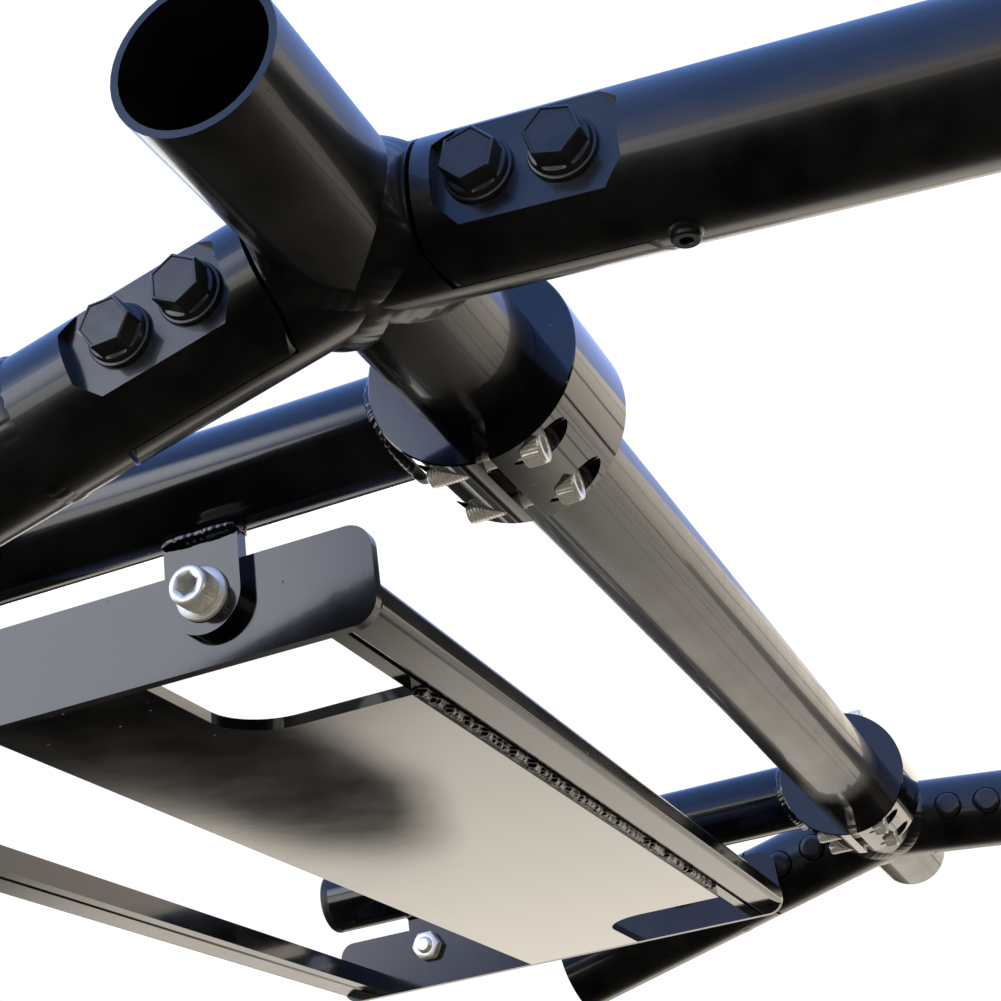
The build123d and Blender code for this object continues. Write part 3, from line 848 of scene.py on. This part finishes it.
class CAGE_OT_cage_welds(bpy.types.Operator):
    """Fillet welds of the lap stubs and ring welds of the rear couplers"""

    bl_idname = "cage.cage_welds"
    bl_label = "Cage welds"

    def execute(self, context):
        sizes = context.scene.cage_welds
        pitch = 1.5 * sizes.ripple
        for s, side in enumerate(SIDES):
            for e, end in enumerate(ENDS):
                place, axis = mount(f"{side}_{end}_rail_bore")
                fillet = saddle_weld(
                    Vector((place.x, 0, 0)), axis, TUBE_RADIUS, TUBE_RADIUS, sizes.cage_toe,
                    sizes.cage_crown, pitch, 1 + 4 * s + 2 * e, sizes.cage_limit,
                )
                mesh_piece(f"{side}_{end}_stub_weld", *fillet, "cage", "cage_powder_coat", BEAD_ANGLE)
            place, axis = mount(f"{side}_rear_rail_bore")
            low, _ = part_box(f"{side}_rear_rail")
            start = Vector((place.x, 0, 0)) + axis * (low.y + TUBE_RADIUS * abs(axis.z)) / axis.y
            turn = frame_along(axis, (1, 0, 0))
            ring = [start + turn @ Vector(p) for p in round_ring(TUBE_RADIUS - sizes.ring_sink, 0, 240)]
            band = bead_round(ring, start, axis, sizes.ring, pitch, 9 + s)
            mesh_piece(f"{side}_rear_rail_weld", *band, "cage", "cage_powder_coat", BEAD_ANGLE)
        return {"FINISHED"}


class CAGE_OT_rack_welds(bpy.types.Operator):
    """Beads that join the arms, tabs, crossbars, strips and tray plate"""

    bl_idname = "cage.rack_welds"
    bl_label = "Rack welds"

    def execute(self, context):
        sizes = context.scene.cage_welds
        pitch = sizes.ripple
        step = pitch / 6
        for s, side in enumerate(SIDES):
            arm = half_size(f"{side}_arm").x
            clamp = half_size(f"{side}_clamp_cap").z
            centre = Vector((middle(f"{side}_arm").x, 0, 0))
            fillet = saddle_weld(
                centre, (0, 1, 0), clamp, arm, sizes.arm_toe, sizes.arm_crown, pitch, 21 + s
            )
            mesh_piece(f"{side}_arm_weld", *fillet, "rack", "rack_gloss", BEAD_ANGLE)
            for e, end in enumerate(ENDS):
                low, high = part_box(f"{side}_{end}_tab")
                drop = -sqrt(arm**2 - sizes.tab_offset**2) - 0.4 * sizes.tab
                front, back = low.y + sizes.tab_inset, high.y - sizes.tab_inset
                corners = [
                    (low.x, front, drop), (high.x, front, drop), (high.x, back, drop), (low.x, back, drop)
                ]
                loop = bead(dense(corners, step, True), sizes.tab, pitch, 31 + 2 * s + e, closed=True)
                mesh_piece(f"{side}_{end}_tab_weld", *loop, "rack", "rack_gloss", BEAD_ANGLE)
                low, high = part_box(f"{end}_crossbar")
                strip_low, strip_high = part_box(f"{end}_backing_strip")
                front, back = min(low.y, strip_low.y), max(high.y, strip_high.y)
                x = low.x if side == "near" else high.x
                top = [(x, front + sizes.bar_start, high.z), (x, back, high.z)]
                line = bead(dense(top, step), sizes.bar, pitch, 41 + 2 * s + e)
                mesh_piece(f"{side}_{end}_crossbar_weld", *line, "rack", "rack_gloss", BEAD_ANGLE)
        low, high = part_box("tray_plate")
        strip_low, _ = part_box("front_backing_strip")
        margin = NOTCH + sizes.plate_start
        run = [(x, low.y, strip_low.z) for x in (low.x + margin, high.x - margin)]
        line = bead(dense(run, step), sizes.plate, pitch, 51, sway=sizes.plate_sway, sway_span=5 * MM)
        mesh_piece("tray_front_weld", *line, "rack", "rack_gloss", BEAD_ANGLE)
        return {"FINISHED"}


class CAGE_OT_bosses(bpy.types.Operator):
    """Small drilled bosses under the front couplers"""

    bl_idname = "cage.bosses"
    bl_label = "Bosses"

    def execute(self, context):
        sizes = context.scene.cage_welds
        boss = skin([round_ring(share * sizes.boss, height * MM, 64) for share, height in BOSS_PROFILE])
        for side in SIDES:
            place, axis = mount(f"{side}_front_rail_bore")
            down = Vector((1, 0, 0)).cross(axis)
            down = -down if down.z > 0 else down
            base = Vector((place.x, 0, 0)) + axis * sizes.boss_distance + down * (TUBE_RADIUS - ROOT_SINK)
            turn = Matrix.Translation(base) @ frame_along(down, axis)
            mesh_piece(f"{side}_boss", *placed([boss], [turn]), "cage", "cage_powder_coat")
        return {"FINISHED"}


class CAGE_OT_stage(bpy.types.Operator):
    """Pale floor, bright surround, soft light, and the cards and sky that only the gloss mirrors"""

    bl_idname = "cage.stage"
    bl_label = "Stage"

    def execute(self, context):
        stage = context.scene.cage_stage
        reach = stage.floor_reach
        floor = self.sheet("floor", (-reach, -reach, reach, reach), self.paint(stage))
        floor.location.z = -stage.floor_drop
        floor.visible_glossy = False
        # The dark card lays painted shade in the gloss, and the warm card a painted reflection of a yard; the
        # camera sees neither.
        for name, material in (("dark_card", self.painted_shade_card()), ("warm_card", self.glow(stage))):
            card = self.sheet(name, CARDS[name], material)
            card.location.z = stage.card_lift - stage.floor_drop
            card.visible_camera = card.visible_diffuse = card.visible_shadow = False
            card.visible_transmission = card.visible_volume_scatter = False
        context.scene.world = self.surround(stage)
        data = bpy.data.lights.new("key", "AREA")
        data.shape, data.size, data.energy = "DISK", stage.key_size, stage.key_power
        light = bpy.data.objects.new("key", data)
        place = Vector(stage.key_place)
        light.matrix_world = Matrix.Translation(place) @ frame_along(place, (1, 0, 0))
        light.visible_glossy = False
        context.scene.collection.objects.link(light)
        context.scene.view_settings.view_transform = "Standard"
        return {"FINISHED"}

    def sheet(self, name, edges, material):
        """Flat rectangle of the stage, from its left, front, right and back edge."""
        left, front, right, back = edges
        mesh = bpy.data.meshes.new(name)
        corners = [(left, front, 0), (right, front, 0), (right, back, 0), (left, back, 0)]
        mesh.from_pydata(corners, [], [(0, 1, 2, 3)])
        mesh.materials.append(material)
        made = bpy.data.objects.new(name, mesh)
        bpy.context.scene.collection.objects.link(made)
        return made

    def paint(self, stage):
        """Matt floor paint, pale and even."""
        material = new_material("painted_floor")
        shader = add_node(
            material.node_tree, "ShaderNodeBsdfDiffuse", {"Color": (*stage.floor, 1), "Roughness": 0.6}
        )
        return finished(material, shader)

    def painted_shade_card(self):
        """Black sheet, painted shade that only the gloss mirrors, laid where the gloss should mirror nothing.
        """
        material = new_material("painted_shade_reflection")
        shader = add_node(material.node_tree, "ShaderNodeBsdfDiffuse", {"Color": (0.004, 0.0035, 0.003, 1)})
        return finished(material, shader)

    def glow(self, stage):
        """Warm reflector card with a soft dark patch and thin wavering bands, as a yard mirrors in
        gloss. It fades out towards a slanted edge."""
        material = new_material("warm_reflector")
        tree = material.node_tree
        place = add_node(tree, "ShaderNodeTexCoord").outputs["Object"]
        drift = add_node(
            tree, "ShaderNodeTexNoise", {"Scale": 1.1, "Detail": 5.0, "Roughness": 0.6}, {"Vector": place}
        )
        shifted = add_node(
            tree, "ShaderNodeMix", {"Factor": 0.16}, {"A": place, "B": drift.outputs["Color"]},
            data_type="VECTOR",
        )
        apart = add_node(tree, "ShaderNodeSeparateXYZ", links={"Vector": shifted})
        from_patch = add_node(
            tree, "ShaderNodeVectorMath", {1: (3.0, 1.93, 0)}, {0: shifted}, operation="SUBTRACT"
        )
        oval = add_node(
            tree, "ShaderNodeMapping", {"Rotation": (0, 0, -0.28), "Scale": (0.95, 3.3, 1)},
            {"Vector": from_patch},
        )
        distance = add_node(            tree, "ShaderNodeVectorMath", links={0: oval}, operation="LENGTH")
        round_patch = add_node(
            tree, "ShaderNodeMapRange", {"From Min": 0.75, "From Max": 1.15, "To Min": 0.02, "To Max": 1.0},
            {"Value": distance},
        )
        bands = add_node(
            tree, "ShaderNodeTexWave",
            {"Scale": 0.30, "Distortion": 3.2, "Detail": 4.0, "Detail Scale": 1.6}, {"Vector": place},
            bands_direction="Y",
        )
        between_bands = add_node(
            tree, "ShaderNodeMapRange", {"From Min": 0.01, "From Max": 0.05, "To Min": 0.0, "To Max": 1.0},
            {"Value": bands.outputs["Fac"]},
        )
        band_fade = add_node(
            tree, "ShaderNodeMapRange", {"From Min": -1.4, "From Max": 0.2, "To Min": 0.15, "To Max": 1.0},
            {"Value": apart.outputs["Y"]},
        )
        clear = add_node(
            tree, "ShaderNodeMath", links={0: between_bands, 1: band_fade}, operation="MAXIMUM"
        )
        pattern = add_node(tree, "ShaderNodeMath", links={0: round_patch, 1: clear}, operation="MULTIPLY")
        slant = add_node(
            tree, "ShaderNodeMapRange", {"From Min": 0.0, "From Max": 4.0, "To Min": 0.0, "To Max": -2.4},
            {"Value": apart.outputs["Y"]},
        )
        from_edge = add_node(
            tree, "ShaderNodeMath", links={0: apart.outputs["X"], 1: slant}, operation="ADD"
        )
        edge_fade = add_node(
            tree, "ShaderNodeMapRange", {"From Min": 1.3, "From Max": 2.35, "To Min": 0.02, "To Max": 1.0},
            {"Value": from_edge}, interpolation_type="SMOOTHSTEP",
        )
        faded = add_node(tree, "ShaderNodeMath", links={0: pattern, 1: edge_fade}, operation="MULTIPLY")
        power = add_node(tree, "ShaderNodeMath", {1: stage.glow_strength}, {0: faded}, operation="MULTIPLY")
        shader = add_node(tree, "ShaderNodeEmission", {"Color": (1.0, 0.92, 0.80, 1)}, {"Strength": power})
        return finished(material, shader)

    def surround(self, stage):
        """Plain bright surround. The gloss mirrors a world of its own instead, a painted reflection: a pale
        ground with thin dark lines, a dark band, a bright patch of haze and a blue sky."""
        world = bpy.data.worlds.new("surround")
        world.use_nodes = True
        tree = world.node_tree
        tree.nodes.clear()
        heading = add_node(tree, "ShaderNodeTexCoord").outputs["Generated"]
        parts = add_node(tree, "ShaderNodeSeparateXYZ", links={"Vector": heading})

        # Height in the view of the gloss, uneven as land is, and raised on one side
        unevenness = add_node(
            tree, "ShaderNodeTexNoise", {"Scale": 9.0, "Detail": 5.0, "Roughness": 0.62},
            {"Vector": heading},
        )
        wobble = add_node(
            tree, "ShaderNodeMath", {1: 0.05, 2: -0.025}, {0: unevenness}, operation="MULTIPLY_ADD"
        )
        uneven = add_node(tree, "ShaderNodeMath", links={0: parts.outputs["Z"], 1: wobble}, operation="ADD")
        lift = add_node(
            tree, "ShaderNodeMapRange", {"From Min": -0.2, "From Max": 0.5, "To Min": 0.30, "To Max": 0.0},
            {"Value": parts.outputs["X"]}, interpolation_type="SMOOTHSTEP",
        )
        height = add_node(            tree, "ShaderNodeMath", links={0: uneven, 1: lift}, operation="ADD")
        aside = add_node(
            tree, "ShaderNodeMapRange", {"From Min": 0.12, "From Max": 0.28, "To Min": 0.0, "To Max": 1.0},
            {"Value": parts.outputs["Y"]}, interpolation_type="SMOOTHSTEP",
        )

        # Pale ground, whiter to the side
        lit = add_node(
            tree, "ShaderNodeMapRange", {"From Min": 0.08, "From Max": 0.16, "To Min": 0.0, "To Max": 1.0},
            {"Value": height}, interpolation_type="SMOOTHSTEP",
        )
        whiteness = add_node(tree, "ShaderNodeMath", links={0: aside, 1: lit}, operation="MULTIPLY")
        land = add_node(
            tree, "ShaderNodeMix", {"A": (*linear("BCB3A6"), 1), "B": (*linear("FFFFFA"), 1)},
            {"Factor": whiteness}, data_type="RGBA",
        )

        # Thin lines, which end where the ground whitens
        beside_lines = []
        for line_height, half, soft in GROUND_LINES:
            above_line = add_node(
                tree, "ShaderNodeMath", {1: line_height}, {0: height}, operation="SUBTRACT"
            )
            off_line = add_node(tree, "ShaderNodeMath", links={0: above_line}, operation="ABSOLUTE")
            beside_lines.append(add_node(
                tree, "ShaderNodeMapRange",
                {"From Min": half, "From Max": half + soft, "To Min": 0.25, "To Max": 1.0},
                {"Value": off_line},
            ))
        lined = add_node(tree, "ShaderNodeMath", links=dict(enumerate(beside_lines)), operation="MULTIPLY")
        clear = add_node(tree, "ShaderNodeMath", links={0: lined, 1: aside}, operation="MAXIMUM")

        # Dark band in the painted reflection, low and thin in front, and wide to the side
        band_height = add_node(
            tree, "ShaderNodeMapRange",
            {"From Min": 0.0, "From Max": 1.0, "To Min": -0.07, "To Max": -0.015}, {"Value": aside},
        )
        band_half = add_node(
            tree, "ShaderNodeMapRange", {"From Min": 0.0, "From Max": 1.0, "To Min": 0.006, "To Max": 0.15},
            {"Value": aside},
        )
        above_band = add_node(
            tree, "ShaderNodeMath", links={0: height, 1: band_height}, operation="SUBTRACT"
        )
        off_band = add_node(tree, "ShaderNodeMath", links={0: above_band}, operation="ABSOLUTE")
        past_band = add_node(
            tree, "ShaderNodeMath", links={0: off_band, 1: band_half}, operation="SUBTRACT"
        )
        beside_dark_band = add_node(
            tree, "ShaderNodeMapRange", {"From Min": 0.0, "From Max": 0.015, "To Min": 0.02, "To Max": 1.0},
            {"Value": past_band},
        )
        lightness = add_node(
            tree, "ShaderNodeMath", links={0: clear, 1: beside_dark_band}, operation="MULTIPLY"
        )
        ground = add_node(
            tree, "ShaderNodeMix", {"A": (0.0, 0.0, 0.0, 1)}, {"Factor": lightness, "B": land},
            data_type="RGBA",
        )

        # Blue sky with a patch of haze
        blue = add_node(tree, "ShaderNodeValToRGB", links={"Fac": height})
        for element, (at, tone) in zip(blue.color_ramp.elements, ((0.46, "7D8AB4"), (0.85, "5677B6"))):
            element.position, element.color = at, (*linear(tone), 1)
        off_haze = add_node(
            tree, "ShaderNodeVectorMath", {1: (-0.76, 0.54, 0.36)}, {0: heading}, operation="DISTANCE"
        )
        haziness = add_node(
            tree, "ShaderNodeMapRange", {"From Min": 0.13, "From Max": 0.33, "To Min": 1.0, "To Max": 0.0},
            {"Value": off_haze}, interpolation_type="SMOOTHSTEP",
        )
        haze = add_node(
            tree, "ShaderNodeMix", {"B": (*(1.5 * part for part in linear("EEF2FF")), 1)},
            {"Factor": haziness, "A": blue}, data_type="RGBA",
        )
        over_horizon = add_node(
            tree, "ShaderNodeMapRange", {"From Min": 0.395, "From Max": 0.41, "To Min": 0.0, "To Max": 1.0},
            {"Value": height}, interpolation_type="SMOOTHSTEP",
        )
        view = add_node(
            tree, "ShaderNodeMix", links={"Factor": over_horizon, "A": ground, "B": haze}, data_type="RGBA"
        )

        mirrored = add_node(
            tree, "ShaderNodeBackground", {"Strength": stage.mirror_strength}, {"Color": view}
        )
        plain = add_node(
            tree, "ShaderNodeBackground", {"Color": (*stage.sky, 1), "Strength": stage.sky_strength}
        )
        ray = add_node(tree, "ShaderNodeLightPath")
        seen = add_node(
            tree, "ShaderNodeMixShader", links={0: ray.outputs["Is Glossy Ray"], 1: plain, 2: mirrored}
        )
        add_node(tree, "ShaderNodeOutputWorld", links={"Surface": seen})
        return world


class CAGE_OT_camera(bpy.types.Operator):
    """Camera below the near rail, looking up along the cross tube"""

    bl_idname = "cage.camera"
    bl_label = "Camera"

    def execute(self, context):
        stage = context.scene.cage_stage
        data = bpy.data.cameras.new("camera")
        data.sensor_width, data.lens = 36, stage.lens
        data.clip_start, data.clip_end = 0.02, 100
        camera = bpy.data.objects.new("camera", data)
        back = -Vector(stage.camera_aim).normalized()
        right = Vector(stage.camera_up).cross(back).normalized()
        turn = Matrix((right, back.cross(right), back)).transposed().to_4x4()
        camera.matrix_world = Matrix.Translation(stage.camera_place) @ turn
        context.scene.collection.objects.link(camera)
        context.scene.camera = camera
        return {"FINISHED"}


OPERATORS = (
    CAGE_OT_finishes, CAGE_OT_lap_bolts, CAGE_OT_clamp_screws, CAGE_OT_tab_screws,
    CAGE_OT_cage_welds, CAGE_OT_rack_welds, CAGE_OT_bosses, CAGE_OT_stage, CAGE_OT_camera,
)
SETTINGS = {
    "cage_fasteners": FastenerSizes,
    "cage_welds": WeldSizes,
    "cage_finish": FinishColours,
    "cage_stage": StageSettings,
}


class CAGE_PT_panel(bpy.types.Panel):
    """Lists the cage section's pieces and settings"""

    bl_idname = "CAGE_PT_panel"
    bl_label = "Cage rack"
    bl_space_type = "VIEW_3D"
    bl_region_type = "UI"
    bl_category = "Cage rack"

    def draw(self, context):
        for operator in OPERATORS:
            self.layout.operator(operator.bl_idname)
        for key, group in SETTINGS.items():
            box = self.layout.box()
            for setting in group.__annotations__:
                box.prop(getattr(context.scene, key), setting)


def register():
    for made in (*SETTINGS.values(), *OPERATORS, CAGE_PT_panel):
        bpy.utils.register_class(made)
    for key, group in SETTINGS.items():
        setattr(bpy.types.Scene, key, PointerProperty(type=group))


def unregister():
    for key in SETTINGS:
        delattr(bpy.types.Scene, key)
    for made in reversed((*SETTINGS.values(), *OPERATORS, CAGE_PT_panel)):
        bpy.utils.unregister_class(made)


def main():
    """Builds everything."""
    register()
    for operator in OPERATORS:
        group, name = operator.bl_idname.split(".")
        getattr(getattr(bpy.ops, group), name)()


if __name__ == "__main__":
    main()
